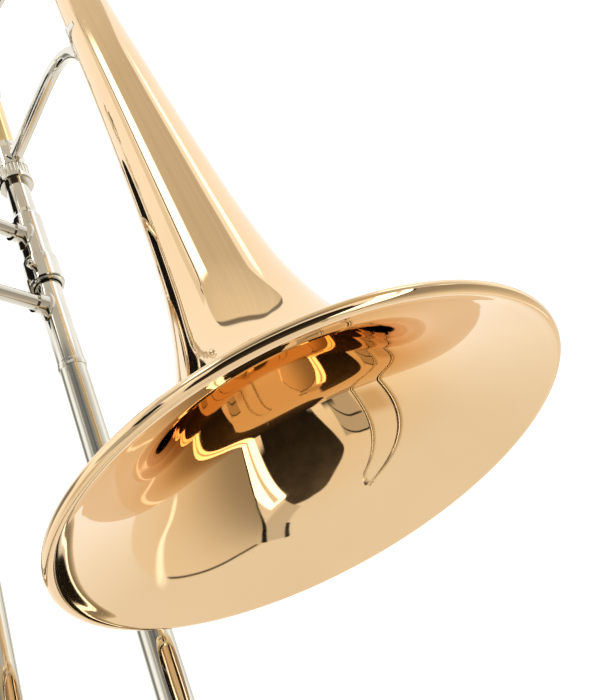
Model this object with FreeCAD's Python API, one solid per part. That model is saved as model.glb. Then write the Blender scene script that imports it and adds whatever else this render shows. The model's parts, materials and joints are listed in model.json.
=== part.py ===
import FreeCAD, Part
import math
import os

# Straight tenor trombone, slide closed.  Units are millimetres.
# Frame: +X runs forward to the bell mouth and the slide bow, +Z is up and
# +Y is the player's left.  The origin is the middle of the left-hand grip
# brace, half way between the two slide tubes.

V = FreeCAD.Vector

# ---------------------------------------------------------------- dimensions
SLIDE_SPACING = 80.0      # between the two slide tube axes
ZU = SLIDE_SPACING / 2    # mouthpiece-side tube axis height
ZL = -SLIDE_SPACING / 2   # bell-side tube axis height

BELL_R = 101.6            # bell rim radius (8 inch bell)
BELL_WALL = 0.6
BELL_OFFSET = 114.4       # bell axis from the bell-side slide tube axis
BELL_TURN = 7.5           # bell plane turned up from horizontal, degrees
X_RIM = 255.0             # bell mouth plane
BEAD_R = 2.5              # rolled rim bead
BELL_TAIL = 424.0         # bell mouth to the narrow end of the bell
BELL_SEAM = 66.0          # bell mouth to the girth seam between flare and stem

IN_ID = 6.5               # inner slide tube bore radius
IN_OD = 6.8               # inner slide tube outside radius
STOCK_R = 6.95            # stocking outside radius
OUT_ID = 7.0              # outer slide tube bore radius
OUT_OD = 7.3              # outer slide tube outside radius
SLEEVE_R = 7.6            # reinforcing sleeve on the outer slide tube
X_IN_END = 736.0          # front end of the inner slide tubes
X_OUT0 = -10.0            # rear end of the outer slide, inside the barrels
X_BOW = 745.0             # outer tubes end and the bow begins
BOW_LEG = 7.0             # straight leg of the bow

BARREL_R = 9.0            # cork barrel
BARREL_BORE = 8.3
BARREL_X0 = -18.0
BARREL_X1 = 43.0
X_GRIP = 0.0              # left-hand brace
X_RH = 59.0               # right-hand brace
SLEEVE_X1 = 105.0

REC_R = 9.6               # slide receiver on the bell section
NUT_R = 11.3              # lock nut
NECK_R = 7.4              # neckpipe outside radius
NECK_BORE = 6.8

SL_X0, SL_X1 = -245.0, -165.0   # tuning slide outer sleeves (80 mm)
LEG_X0, LEG_X1 = -257.0, -175.0 # tuning slide inner legs
NLEG_R, NLEG_B = 8.5, 7.9       # neck-side inner leg, outside and bore
NSLV_B, NSLV_R = 8.55, 9.2      # neck-side outer sleeve
BLEG_R, BLEG_B = 10.3, 9.7      # bell-side inner leg
BSLV_B, BSLV_R = 10.35, 11.0    # bell-side outer sleeve
X_CROOK = -273.0                # the crook's straight legs end here

WK_X = 749.0              # water key nipple
WK_PIVOT_X, WK_PIVOT_Z = 721.0, ZL - 12.2

PARTS = {}


def add(name, *shapes):
    shapes = [s for s in shapes]
    PARTS[name] = shapes[0] if len(shapes) == 1 else Part.makeCompound(shapes)


# ------------------------------------------------------------------- helpers
def rev(pts, y=0.0, z=0.0):
    """Solid of revolution about the X-parallel line through (y, z); pts are (x, r)."""
    p = [V(x, r, 0) for x, r in pts]
    w = Part.makePolygon(p + [p[0]])
    s = Part.Face(w).revolve(V(0, 0, 0), V(1, 0, 0), 360)
    s = as_solid(s)
    s.translate(V(0, y, z))
    return s


def as_solid(s):
    if s.ShapeType != "Solid":
        s = s.Solids[0] if s.Solids else Part.Solid(Part.Shell(s.Faces))
    if s.Volume < 0:
        s.reverse()
    return s


def tube(x0, x1, ro, ri, y=0.0, z=0.0):
    a = Part.makeCylinder(ro, x1 - x0, V(x0, y, z), V(1, 0, 0))
    if ri > 0:
        a = a.cut(Part.makeCylinder(ri, x1 - x0 + 2, V(x0 - 1, y, z), V(1, 0, 0)))
    return as_solid(a)


def rod(p0, p1, r, ri=0.0):
    d = p1.sub(p0)
    a = Part.makeCylinder(r, d.Length, p0, d)
    if ri > 0:
        a = a.cut(Part.makeCylinder(ri, d.Length, p0, d))
    return as_solid(a)


def biggest(s):
    return max(s.Solids, key=lambda q: q.Volume)


def diamond(cx, cv, lx, lv, n0, n1, updir):
    """Pointed-oval prism: long half lx along X, half width lv across, extruded
    along updir ('z' or 'y') from n0 to n1, centred at (cx, cv)."""
    k = 0.16
    pts = [(-lx, 0), (-lx * 0.5, -lv * 0.80), (0, -lv), (lx * 0.5, -lv * 0.80),
           (lx, 0), (lx * 0.5, lv * 0.80), (0, lv), (-lx * 0.5, lv * 0.80)]
    if updir == "z":
        p = [V(cx + a, cv + b, n0) for a, b in pts]
        d = V(0, 0, n1 - n0)
    else:
        p = [V(cx + a, n0, cv + b) for a, b in pts]
        d = V(0, n1 - n0, 0)
    e = [Part.Arc(p[0], p[1], p[2]).toShape(), Part.Arc(p[2], p[3], p[4]).toShape(),
         Part.Arc(p[4], p[5], p[6]).toShape(), Part.Arc(p[6], p[7], p[0]).toShape()]
    return as_solid(Part.Face(Part.Wire(e)).extrude(d))


def saddle(cx, y, z, r, t, lx, lv, side):
    """Thin pointed flange wrapped on an X-parallel tube of radius r, on one side."""
    shell = tube(cx - lx - 1, cx + lx + 1, r + t, r, y, z)
    if side in ("+z", "-z"):
        s = 1 if side == "+z" else -1
        pr = diamond(cx, y, lx, lv, z, z + s * (r + t + 2), "z")
    else:
        s = 1 if side == "+y" else -1
        pr = diamond(cx, z, lx, lv, y, y + s * (r + t + 2), "y")
    return biggest(shell.common(pr))


def in_bell(s):
    """Bell-section frame (slide receiver axis at the origin, bell on +Y) to the
    part's frame."""
    s = s.copy()
    s.rotate(V(0, 0, 0), V(1, 0, 0), BELL_TURN)
    s.translate(V(0, 0, ZL))
    return s


# ------------------------------------------------------------------ the bell
# Outside radius of the bell against the distance behind the mouth.
FLARE_S0, FLARE_A = 18.2, 0.7
MOUTH_D, MOUTH_W = 3.3, 72.0     # extra depth of the mouth, and the width of the band it fades over
TAIL_KNOTS = [(141.1, 23.4), (188.1, 21.0), (244.6, 18.75), (310.4, 16.6),
              (370.0, 14.9), (400.0, 13.7), (BELL_TAIL, 12.6)]


def flare_r(s):
    return BELL_R * (FLARE_S0 / (s + FLARE_S0)) ** FLARE_A


def deeper(r):
    u = (BELL_R - r) / MOUTH_W
    return MOUTH_D * math.sin(math.pi * u) if 0.0 < u < 1.0 else 0.0


def flare_s(r):
    return FLARE_S0 * ((BELL_R / r) ** (1 / FLARE_A) - 1) + deeper(r)


BEAD_C_R = BELL_R - BEAD_R
r_start = BEAD_C_R - 0.58
s_start = flare_s(r_start)
slope = ((s_start - deeper(r_start) + FLARE_S0) / (FLARE_A * r_start)
         + MOUTH_D * math.pi / MOUTH_W * math.cos(math.pi * (BELL_R - r_start) / MOUTH_W))      # ds/dr at the start
ang = math.atan(slope)
rho = BEAD_R - BELL_WALL / 2
BEAD_C = V(-s_start - rho * math.cos(ang), r_start + rho * math.sin(ang), 0)
shift_r = BELL_R - BEAD_R - BEAD_C.y
BEAD_C.y += shift_r
r_start += shift_r

mid = [(-s_start, r_start)]
r = r_start - 2.0
while r > 46.0:
    mid.append((-flare_s(r), r))
    r -= 2.6
for s in (38.0, 43.0, 49.0, 56.0, 64.0, 73.0, 84.0, 96.0):
    mid.append((-s - deeper(flare_r(s)), flare_r(s)))
mid += [(-118.0, 25.3)]
mid += [(-s, q) for s, q in TAIL_KNOTS]

core = Part.BSplineCurve()
core.interpolate([V(x, q, 0) for x, q in mid],
                 InitialTangent=V(-math.sin(ang), -math.cos(ang), 0),
                 FinalTangent=V(-1, -0.05, 0))
front_pts, back_pts = [], []
N = 150
for i in range(N + 1):
    u = core.FirstParameter + (core.LastParameter - core.FirstParameter) * i / N
    p = core.value(u)
    t = core.tangent(u)[0]
    n = V(t.y, -t.x, 0)                  # towards the bell's outside
    if n.y < 0:
        n = n.multiply(-1)
    h = BELL_WALL / 2
    back_pts.append(p.add(V(n.x * h, n.y * h, 0)))
    front_pts.append(p.sub(V(n.x * h, n.y * h, 0)))


def thin(pts):
    keep = pts[0::3]
    if keep[-1] != pts[-1]:
        keep.append(pts[-1])
    return keep


tan0 = V(-math.sin(ang), -math.cos(ang), 0)
front = Part.BSplineCurve()
front.interpolate(thin(front_pts), InitialTangent=tan0, FinalTangent=V(-1, -0.05, 0))
back = Part.BSplineCurve()
back.interpolate(thin(back_pts), InitialTangent=tan0, FinalTangent=V(-1, -0.05, 0))


def bead_pt(rad, deg):
    a = math.radians(deg)
    return V(BEAD_C.x + rad * math.cos(a), BEAD_C.y + rad * math.sin(a), 0)


a0 = math.degrees(math.atan2(front_pts[0].y - BEAD_C.y, front_pts[0].x - BEAD_C.x))
a1 = 282.0
ro = (front_pts[0].sub(BEAD_C)).Length
ri = (back_pts[0].sub(BEAD_C)).Length
roll_out = Part.Arc(front_pts[0], bead_pt(ro, (a0 + a1) / 2), bead_pt(ro, a1)).toShape()
roll_in = Part.Arc(back_pts[0], bead_pt(ri, (a0 + a1) / 2), bead_pt(ri, a1)).toShape()
cap = Part.makeLine(bead_pt(ro, a1), bead_pt(ri, a1))
tail = Part.makeLine(front_pts[-1], back_pts[-1])
face = Part.Face(Part.Wire(Part.__sortEdges__([front.toShape(), roll_out, cap, roll_in, back.toShape(), tail])))
bell = as_solid(face.revolve(V(0, 0, 0), V(1, 0, 0), 360))
bell.translate(V(X_RIM, BELL_OFFSET, 0))
# two-piece bell: the spun flare is brazed to the stem at a girth seam
fore = Part.makeBox(BELL_SEAM + 20.0, 260.0, 260.0, V(X_RIM - BELL_SEAM, BELL_OFFSET - 130.0, -130.0))
bell_flare = biggest(bell.common(fore))
bell_stem = biggest(bell.cut(fore))
add("bell_flare", in_bell(bell_flare))
add("bell_stem", in_bell(bell_stem))

wire = Part.makeTorus(BEAD_C.y, ri - 0.04, V(X_RIM + BEAD_C.x, BELL_OFFSET, 0), V(1, 0, 0))
add("rim_wire", in_bell(wire))

# -------------------------------------------- bell tail and tuning slide legs
BX_TAIL = X_RIM - BELL_TAIL            # narrow end of the bell
tail_r = 12.9                          # outside of the bell just inside the ferrule
f = rev([(BX_TAIL - 4.0, BSLV_R), (BX_TAIL - 4.0, 12.1), (BX_TAIL - 2.5, 13.3), (BX_TAIL + 9.0, 13.9),
         (BX_TAIL + 10.5, 13.6), (BX_TAIL + 10.5, 12.0), (BX_TAIL - 0.0, 12.0), (BX_TAIL - 0.0, BSLV_R)],
        BELL_OFFSET)
f = biggest(f.cut(bell))
# the ferrule closes over the sleeve's front end
add("bell_tail_ferrule", in_bell(f))
add("bell_side_tuning_sleeve", in_bell(tube(SL_X0, BX_TAIL - 0.2, BSLV_R, BSLV_B, BELL_OFFSET)))
add("neck_side_tuning_sleeve", in_bell(tube(SL_X0, SL_X1 - 4.0, NSLV_R, NSLV_B)))

# ------------------------------------------------- neckpipe and its receiver
REC_X0, REC_X1 = -88.0, -55.0
neck = rev([(-168.8, NECK_BORE), (-168.8, NECK_R), (REC_X0, NECK_R), (REC_X0, NECK_BORE)])
add("neckpipe", in_bell(neck))
nf = rev([(-172.0, NSLV_R), (-172.0, 9.9), (-170.5, 10.2), (-160.0, 9.6), (-155.0, 8.3), (-154.0, NECK_R),
          (-168.8, NECK_R), (-168.8, NSLV_R)])
add("neckpipe_ferrule", in_bell(nf))
rec = rev([(REC_X1, 8.43), (REC_X1 - 0.4, REC_R), (REC_X0 + 4.0, REC_R), (REC_X0 + 1.0, 9.2), (-92.0, 8.2), (-93.0, NECK_R),
           (REC_X0, NECK_R), (REC_X0, NECK_BORE), (-85.2, NECK_BORE), (-85.2, 7.83)])
# fine screw thread on the receiver's mouth, as closed grooves
for i in range(7):
    xg = -56.6 - i * 1.3
    g = rev([(xg - 0.45, REC_R + 0.1), (xg, REC_R - 0.45), (xg + 0.45, REC_R + 0.1)])
    rec = rec.cut(g)
rec = biggest(rec)
add("slide_receiver", in_bell(rec))

# ------------------------------------------------------- curved bell brace
BR = 4.6
foot = V(-74.0, 8.0, 0)
knee0 = V(-88.2, 60.0, 0)
knee_m = V(-89.2, 77.0, 0)
knee1 = V(-80.2, 91.5, 0)
top = V(-69.5, 101.0, 0)
spine = Part.BSplineCurve()
spine.interpolate([foot, V(-79.5, 28.0, 0), V(-85.0, 46.0, 0), V(-89.0, 61.0, 0), V(-90.4, 73.0, 0), V(-87.6, 83.0, 0),
                   V(-80.0, 91.2, 0), V(-70.0, 96.5, 0)],
                  InitialTangent=V(-0.26, 0.96, 0), FinalTangent=V(0.92, 0.39, 0))
spw = Part.Wire([spine.toShape()])
c0 = Part.Wire([Part.makeCircle(BR, foot, V(-0.26, 0.96, 0))])
brace = as_solid(spw.makePipeShell([c0], True, False))
# the bell's solid outside, to trim the brace and shape its flange
solid_pts = [V(p.x, p.y, 0) for p in back_pts[60:]]
sw = Part.makePolygon([V(solid_pts[0].x, 0, 0)] + solid_pts + [V(solid_pts[-1].x, 0, 0), V(solid_pts[0].x, 0, 0)])
bell_plug = as_solid(Part.Face(sw).revolve(V(0, 0, 0), V(1, 0, 0), 360))
bell_plug.translate(V(X_RIM, BELL_OFFSET, 0))


def grown_bell(t):
    q = [V(p.x, p.y + t, 0) for p in back_pts[60:]]
    w = Part.makePolygon([V(q[0].x, 0, 0)] + q + [V(q[-1].x, 0, 0), V(q[0].x, 0, 0)])
    b = as_solid(Part.Face(w).revolve(V(0, 0, 0), V(1, 0, 0), 360))
    b.translate(V(X_RIM, BELL_OFFSET, 0))
    return b


FL_T = 0.9
gb = grown_bell(FL_T)
brace = biggest(brace.cut(gb).cut(Part.makeCylinder(REC_R + FL_T, 60, V(-110, 0, 0), V(1, 0, 0))))
add("bell_brace", in_bell(brace))
# leaf-shaped flange, its points wrapped round the stem and swept towards the mouth
LEAF_X, LEAF_W, LEAF_A, LEAF_SWEEP = -73.0, 14.5, 84.0, 6.0
band = [p for p in back_pts if -(X_RIM - LEAF_X) - 26 < p.x < -(X_RIM - LEAF_X) + 26]
ring = as_solid(Part.Face(Part.makePolygon([V(p.x, p.y, 0) for p in band]
                                           + [V(p.x, p.y + FL_T, 0) for p in band[::-1]]
                                           + [V(band[0].x, band[0].y, 0)])).revolve(V(0, 0, 0), V(1, 0, 0), 360))
ring.translate(V(X_RIM, BELL_OFFSET, 0))
leaf_r = 17.3
fwd, aft = [], []
for k in range(-8, 9):
    a = LEAF_A * k / 8.0
    z = leaf_r * math.sin(math.radians(a))
    w = LEAF_W * (1 - (abs(k) / 8.0) ** 1.6)
    xm = LEAF_X + LEAF_SWEEP * (k / 8.0) ** 2
    fwd.append(V(xm + w, BELL_OFFSET - 26.0, z))
    aft.append(V(xm - w, BELL_OFFSET - 26.0, z))


def through(q):
    b = Part.BSplineCurve()
    b.interpolate(q)
    return b.toShape()


leaf = as_solid(Part.Face(Part.Wire([through(fwd), through(aft[::-1])])).extrude(V(0, 26.0, 0)))
fl_bell = biggest(ring.common(leaf).cut(bell))
fl_rec = saddle(-73.5, 0, 0, REC_R, FL_T, 7.4, 7.0, "+y")
add("bell_brace_flanges", in_bell(fl_bell), in_bell(fl_rec))

# -------------------------------------------------------- rear bell brace
XRB = -226.0
rb = rod(V(XRB, NSLV_R + 0.9, 0), V(XRB, BELL_OFFSET - BSLV_R - 0.9, 0), 3.6, 2.6)
rb = rb.cut(tube(XRB - 20, XRB + 20, NSLV_R + 0.9, 0)).cut(tube(XRB - 20, XRB + 20, BSLV_R + 0.9, 0, BELL_OFFSET))
ends = []
for yy, rr, sd in ((0, NSLV_R, 1), (BELL_OFFSET, BSLV_R, -1)):
    c = rod(V(XRB, yy + sd * (rr - 0.5), 0), V(XRB, yy + sd * (rr + 5.0), 0), 5.2, 3.6)
    c = biggest(c.cut(tube(XRB - 20, XRB + 20, rr + 0.9, 0, yy)))
    ends.append(c)
# the longer rod passes into its two collars
rbl = rod(V(XRB, NSLV_R - 1.0, 0), V(XRB, BELL_OFFSET - BSLV_R + 1.0, 0), 3.6, 2.6)
rbl = biggest(rbl.cut(tube(XRB - 20, XRB + 20, NSLV_R + 0.9, 0)).cut(tube(XRB - 20, XRB + 20, BSLV_R + 0.9, 0, BELL_OFFSET)))
add("rear_bell_brace", in_bell(rbl))
fa = saddle(XRB, 0, 0, NSLV_R, 0.9, 15.0, 7.6, "+y")
fb = saddle(XRB, BELL_OFFSET, 0, BSLV_R, 0.9, 15.0, 7.6, "-y")
add("rear_brace_flanges", in_bell(as_solid(fa.fuse(ends[0]).removeSplitter())),
    in_bell(as_solid(fb.fuse(ends[1]).removeSplitter())))

# ----------------------------------------------------- tuning slide (pulls back)
add("tuning_leg_neck_side", in_bell(tube(LEG_X0, LEG_X1, NLEG_R, NLEG_B)))
add("tuning_leg_bell_side", in_bell(tube(LEG_X0, LEG_X1, BLEG_R, BLEG_B, BELL_OFFSET)))
cf1 = rev([(-245.4, NLEG_R), (-245.4, 9.5), (-247.0, 9.9), (-266.5, 9.9), (-268.0, 9.3), (-268.0, NLEG_R)])
cf2 = rev([(-245.4, BLEG_R), (-245.4, 11.3), (-247.0, 11.7), (-266.5, 11.7), (-268.0, 11.1), (-268.0, BLEG_R)], BELL_OFFSET)
add("crook_ferrules", in_bell(cf1), in_bell(cf2))

CR = BELL_OFFSET / 2


def crook_solid(r0, r1, mid_r):
    """Swept crook of growing bore: neck side radius r0, bell side radius r1."""
    cx, cy = X_CROOK, CR
    arc = Part.Arc(V(cx, 0, 0), V(cx - CR, cy, 0), V(cx, BELL_OFFSET, 0)).toShape()
    sp = Part.Wire([arc])
    w0 = Part.Wire([Part.makeCircle(r0, V(cx, 0, 0), V(-1, 0, 0))])
    w1 = Part.Wire([Part.makeCircle(r1, V(cx, BELL_OFFSET, 0), V(1, 0, 0))])
    ps = Part.BRepOffsetAPI.MakePipeShell(sp)
    ps.setFrenetMode(True)
    ps.add(w0)
    ps.add(w1)
    ps.build()
    ps.makeSolid()
    return as_solid(ps.shape())


def leg(r, ri, x0, x1, y):
    return tube(x0, x1, r, ri, y)


outer = crook_solid(NLEG_R, BLEG_R, 0)
inner = crook_solid(NLEG_B, BLEG_B, 0)
crook = biggest(outer.cut(inner))
crook = crook.fuse(tube(X_CROOK, LEG_X0, NLEG_R, NLEG_B)).fuse(tube(X_CROOK, LEG_X0, BLEG_R, BLEG_B, BELL_OFFSET))
crook = as_solid(crook.removeSplitter())
add("tuning_crook", in_bell(crook))
XCB = -257.0
cbr = rod(V(XCB, 9.9 - 1.0, 0), V(XCB, BELL_OFFSET - 11.7 + 1.0, 0), 3.2, 2.3)
cbr = cbr.cut(tube(XCB - 20, XCB + 20, 9.9 + 0.8, 0)).cut(tube(XCB - 20, XCB + 20, 11.7 + 0.8, 0, BELL_OFFSET))
add("tuning_slide_brace", in_bell(biggest(cbr)))
fa = saddle(XCB, 0, 0, 9.9, 0.8, 7.8, 6.4, "+y")
fb = saddle(XCB, BELL_OFFSET, 0, 11.7, 0.8, 7.8, 6.4, "-y")
add("tuning_brace_flanges", in_bell(fa), in_bell(fb))

# ------------------------------------------------------ slide tenon and nut
ten = rev([(-84.8, IN_ID), (-84.8, 7.78), (-56.0, 8.36), (-54.9, 8.36), (-54.9, 9.3), (-51.5, 9.3), (-51.5, 7.5), (-22.0, 7.5),
           (BARREL_X0, 8.3), (BARREL_X0, IN_OD), (-30.0, IN_OD), (-30.0, IN_ID)], 0, ZL)
add("slide_tenon", ten)
nut = rev([(-66.0, REC_R + 0.05), (-66.0, 10.6), (-65.2, NUT_R), (-50.6, NUT_R), (-49.6, 10.4), (-49.6, 7.58),
           (-51.35, 7.58), (-51.35, REC_R + 0.05)], 0, ZL)
for i in range(30):
    a = math.radians(i * 12.0)
    cy, cz = (NUT_R + 0.55) * math.cos(a), (NUT_R + 0.55) * math.sin(a)
    nut = nut.cut(Part.makeCylinder(0.95, 9.0, V(-63.6, cy, ZL + cz), V(1, 0, 0)))
add("lock_nut", biggest(nut))

# ---------------------------------------------------------- inner hand slide
add("upper_inner_tube", tube(-70.0, X_IN_END, IN_OD, IN_ID, 0, ZU))
add("lower_inner_tube", tube(-30.0, X_IN_END, IN_OD, IN_ID, 0, ZL))
add("slide_stockings", tube(X_IN_END - 112.0, X_IN_END - 0.5, STOCK_R, IN_OD, 0, ZU),
    tube(X_IN_END - 112.0, X_IN_END - 0.5, STOCK_R, IN_OD, 0, ZL))
lead = rev([(-78.0, 5.85), (-78.0, 7.6), (-76.8, 8.2), (-74.0, 8.2), (-74.0, 6.45), (150.0, 6.45), (150.0, 6.3), (60.0, 5.9),
            (-20.0, 5.15), (-44.0, 5.25)], 0, ZU)
add("leadpipe", lead)
mrec = rev([(-74.0, IN_OD), (-74.0, 9.4), (-72.5, 9.9), (-67.0, 9.9), (-65.5, 8.9), (-48.0, 8.5), (-44.0, 7.7), (-43.0, IN_OD)], 0, ZU)
mrec = mrec.cut(tube(-74.1, -69.99, 6.45 + 0.01, 0, 0, ZU))
mfill = rev([(-74.0, 6.5), (-74.0, IN_OD), (-70.0, IN_OD), (-70.0, 6.5)], 0, ZU)
mrec = as_solid(mrec.fuse(mfill).removeSplitter())
add("mouthpiece_receiver", mrec)

# mouthpiece: rim, cup, backbore and tapered shank
mp = rev([(-46.0, 4.9), (-46.0, 5.20), (-78.0, 5.78), (-79.5, 5.85), (-96.0, 6.9), (-101.0, 9.2), (-106.0, 12.4), (-114.0, 15.0),
          (-120.0, 16.6), (-121.8, 18.2), (-123.6, 19.4), (-125.4, 19.6), (-126.9, 18.6), (-127.5, 16.6), (-127.1, 14.4),
          (-125.6, 12.9), (-122.0, 12.5), (-115.5, 11.4), (-109.5, 8.8), (-105.5, 5.4), (-103.5, 3.6), (-101.0, 3.2), (-97.0, 3.2)], 0, ZU)
add("mouthpiece", mp)

# cork barrels with the left-hand grip brace between them
ub = rev([(BARREL_X0, IN_OD), (BARREL_X0, 8.3), (BARREL_X0 + 2.0, BARREL_R), (20.0, BARREL_R), (22.0, 10.4), (23.0, 10.6),
          (40.5, 10.6), (43.0, 9.7), (43.0, BARREL_BORE), (BARREL_X0 + 2.0, BARREL_BORE), (BARREL_X0 + 2.0, IN_OD)], 0, ZU)
add("upper_cork_barrel", ub)
lb = rev([(BARREL_X0, IN_OD), (BARREL_X0, 8.3), (BARREL_X0 + 2.0, BARREL_R), (20.0, BARREL_R), (20.2, 9.6), (21.5, 9.6),
          (21.7, BARREL_R), (41.6, BARREL_R), (41.8, 9.9), (43.0, 9.6), (43.0, BARREL_BORE), (BARREL_X0 + 2.0, BARREL_BORE),
          (BARREL_X0 + 2.0, IN_OD)], 0, ZL)
add("lower_cork_barrel", lb)
bump = [rev([(-15.8, IN_OD + 0.02), (-15.8, BARREL_BORE - 0.02), (X_OUT0 - 0.15, BARREL_BORE - 0.02), (X_OUT0 - 0.15, IN_OD + 0.02)], 0, z)
        for z in (ZL, ZU)]
add("barrel_bumpers", *bump)
gr = rod(V(X_GRIP, 0, ZL + BARREL_R - 1), V(X_GRIP, 0, ZU - BARREL_R + 1), 4.6, 3.4)
gr = biggest(gr.cut(tube(-20, 20, BARREL_R + 0.9, 0, 0, ZL)).cut(tube(-20, 20, BARREL_R + 0.9, 0, 0, ZU)))
add("left_hand_brace", gr)


def collar_flange(x, z, r, t, lx, lv, sd, rb, rc, h):
    """Pointed flange with a socket collar for the brace tube."""
    s = saddle(x, 0, z, r, t, lx, lv, "+z" if sd > 0 else "-z")
    c = rod(V(x, 0, z + sd * (r - 0.5)), V(x, 0, z + sd * (r + h)), rc, rb)
    c = biggest(c.cut(tube(x - 20, x + 20, r + t, 0, 0, z)))
    return as_solid(s.fuse(c).removeSplitter())


add("grip_flanges", collar_flange(X_GRIP, ZL, BARREL_R, 0.9, 14.0, 7.8, 1, 4.6, 6.0, 6.0),
    collar_flange(X_GRIP, ZU, BARREL_R, 0.9, 14.0, 7.8, -1, 4.6, 6.0, 6.0))

# slide lock: a ring turning on the lower barrel, with a notched finger
ring = rev([(22.0, BARREL_R + 0.05), (22.0, 10.2), (22.8, 10.6), (40.6, 10.6), (41.4, 10.2), (41.4, BARREL_R + 0.05)], 0, ZL)


def sector(x0, x1, r0, r1, a0, a1, y, z):
    """Part of a tube wall between two angles, from +Y towards +Z."""
    s = tube(x0, x1, r1, r0, y, z)
    n = 6
    pts = [V(x0 - 1, y, z)]
    for i in range(n + 1):
        a = math.radians(a0 + (a1 - a0) * i / n)
        pts.append(V(x0 - 1, y + 40 * math.cos(a), z + 40 * math.sin(a)))
    w = Part.makePolygon(pts + [pts[0]])
    return biggest(s.common(as_solid(Part.Face(w).extrude(V(x1 - x0 + 2, 0, 0)))))


finger = sector(38.0, 52.8, 9.98, 11.6, 100.0, 126.0, 0, ZL)
notch = sector(46.1, 49.9, 9.0, 12.5, 114.0, 128.0, 0, ZL)
ring = as_solid(ring.fuse(finger).cut(notch).removeSplitter())
add("slide_lock_ring", ring)
# a thumb knob on the ring
ka = math.radians(70.0)
knob = Part.makeCylinder(2.6, 3.2, V(31.5, 10.3 * math.cos(ka), ZL + 10.3 * math.sin(ka)), V(0, math.cos(ka), math.sin(ka)))
knob = knob.fuse(Part.makeSphere(2.6, V(31.5, 13.5 * math.cos(ka), ZL + 13.5 * math.sin(ka))))
knob = biggest(knob.cut(tube(20, 45, 10.6, 0, 0, ZL)))
add("lock_thumb_knob", knob)

# ---------------------------------------------------------- outer hand slide
add("upper_outer_tube", tube(X_OUT0, X_BOW, OUT_OD, OUT_ID, 0, ZU))
add("lower_outer_tube", tube(X_OUT0, X_BOW, OUT_OD, OUT_ID, 0, ZL))


def sleeve(z):
    return rev([(X_OUT0, OUT_OD), (X_OUT0, SLEEVE_R), (SLEEVE_X1 - 4.0, SLEEVE_R), (SLEEVE_X1 - 3.4, 7.95), (SLEEVE_X1 - 1.6, 7.95),
                (SLEEVE_X1, 7.55), (SLEEVE_X1, OUT_OD)], 0, z)


add("outer_slide_sleeves", sleeve(ZL), sleeve(ZU))
rh = rod(V(X_RH, 0, ZL + SLEEVE_R - 1), V(X_RH, 0, ZU - SLEEVE_R + 1), 4.4, 3.3)
rh = biggest(rh.cut(tube(X_RH - 20, X_RH + 20, SLEEVE_R + 0.9, 0, 0, ZL)).cut(tube(X_RH - 20, X_RH + 20, SLEEVE_R + 0.9, 0, 0, ZU)))
add("right_hand_brace", rh)
rf1 = collar_flange(X_RH, ZL, SLEEVE_R, 0.9, 12.5, 6.4, 1, 4.4, 5.8, 5.6)
rf2 = collar_flange(X_RH, ZU, SLEEVE_R, 0.9, 12.5, 6.4, -1, 4.4, 5.8, 5.6)
add("right_brace_flanges", rf1, rf2)
sa = math.radians(152.0)
stud = Part.makeCylinder(1.4, 5.2, V(48.0, 6.6 * math.cos(sa), ZL + 6.6 * math.sin(sa)), V(0, math.cos(sa), math.sin(sa)))
stud = biggest(stud.cut(tube(40, 60, SLEEVE_R, 0, 0, ZL)).cut(rf1))
add("lock_stud", stud)

# bow, its ferrules, guard and bumper
XC = X_BOW + BOW_LEG
bow_o = Part.makeTorus(ZU, OUT_OD, V(XC, 0, 0), V(0, 1, 0))
bow_i = Part.makeTorus(ZU, OUT_ID - 0.15, V(XC, 0, 0), V(0, 1, 0))
half = Part.makeBox(80, 60, 160, V(XC, -30, -80))
bow = bow_o.cut(bow_i).common(half)
bow = bow.fuse(tube(X_BOW, XC, OUT_OD, OUT_ID - 0.15, 0, ZU)).fuse(tube(X_BOW, XC, OUT_OD, OUT_ID - 0.15, 0, ZL))
nip_hole = Part.makeCylinder(2.4, 8, V(WK_X, 0, ZL - 3), V(0, 0, -1))
bow = as_solid(bow.removeSplitter().cut(nip_hole))
add("slide_bow", bow)
fer = []
for z in (ZL, ZU):
    q = rev([(X_BOW - 11.0, OUT_OD), (X_BOW - 11.0, 7.8), (X_BOW - 9.5, 8.3), (X_BOW - 3.2, 8.3), (X_BOW - 2.0, 7.8), (X_BOW - 2.0, OUT_OD)], 0, z)
    fer.append(q)
add("bow_ferrules", *fer)
g_o = Part.makeTorus(ZU, OUT_OD + 0.7, V(XC, 0, 0), V(0, 1, 0))
guard = g_o.cut(bow_o).common(Part.makeBox(60, 40, 80, V(XC + 22.0, -20, -40)))
guard = guard.cut(Part.makeCylinder(ZU - 0.5, 60, V(XC, -30, 0), V(0, 1, 0)))
add("bow_guard", biggest(guard))
XT = XC + ZU + OUT_OD
base = rev([(XT - 3.0, 0.01), (XT - 3.0, 5.2), (XT + 3.0, 5.2), (XT + 4.2, 4.4), (XT + 4.2, 0.01)])
base = Part.makeCylinder(5.2, 7.2, V(XT - 3.0, 0, 0), V(1, 0, 0))
base = base.cut(Part.makeTorus(ZU, OUT_OD + 0.7, V(XC, 0, 0), V(0, 1, 0)))
base = biggest(base)
sock = Part.makeCylinder(3.0, 3.0, V(XT + 2.2, 0, 0), V(1, 0, 0))
base = biggest(base.cut(sock))
add("bumper_base", base)
tip = Part.makeCylinder(3.0, 2.0, V(XT + 2.2, 0, 0), V(1, 0, 0)).fuse(Part.makeCylinder(5.4, 5.6, V(XT + 4.2, 0, 0), V(1, 0, 0)))
tip = tip.removeSplitter()
edges = [e for e in tip.Edges if abs(e.BoundBox.XMin - (XT + 9.8)) < 1e-6 and abs(e.BoundBox.XMax - (XT + 9.8)) < 1e-6]
tip = tip.makeFillet(1.6, edges)
add("bumper_tip", as_solid(tip))

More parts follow.
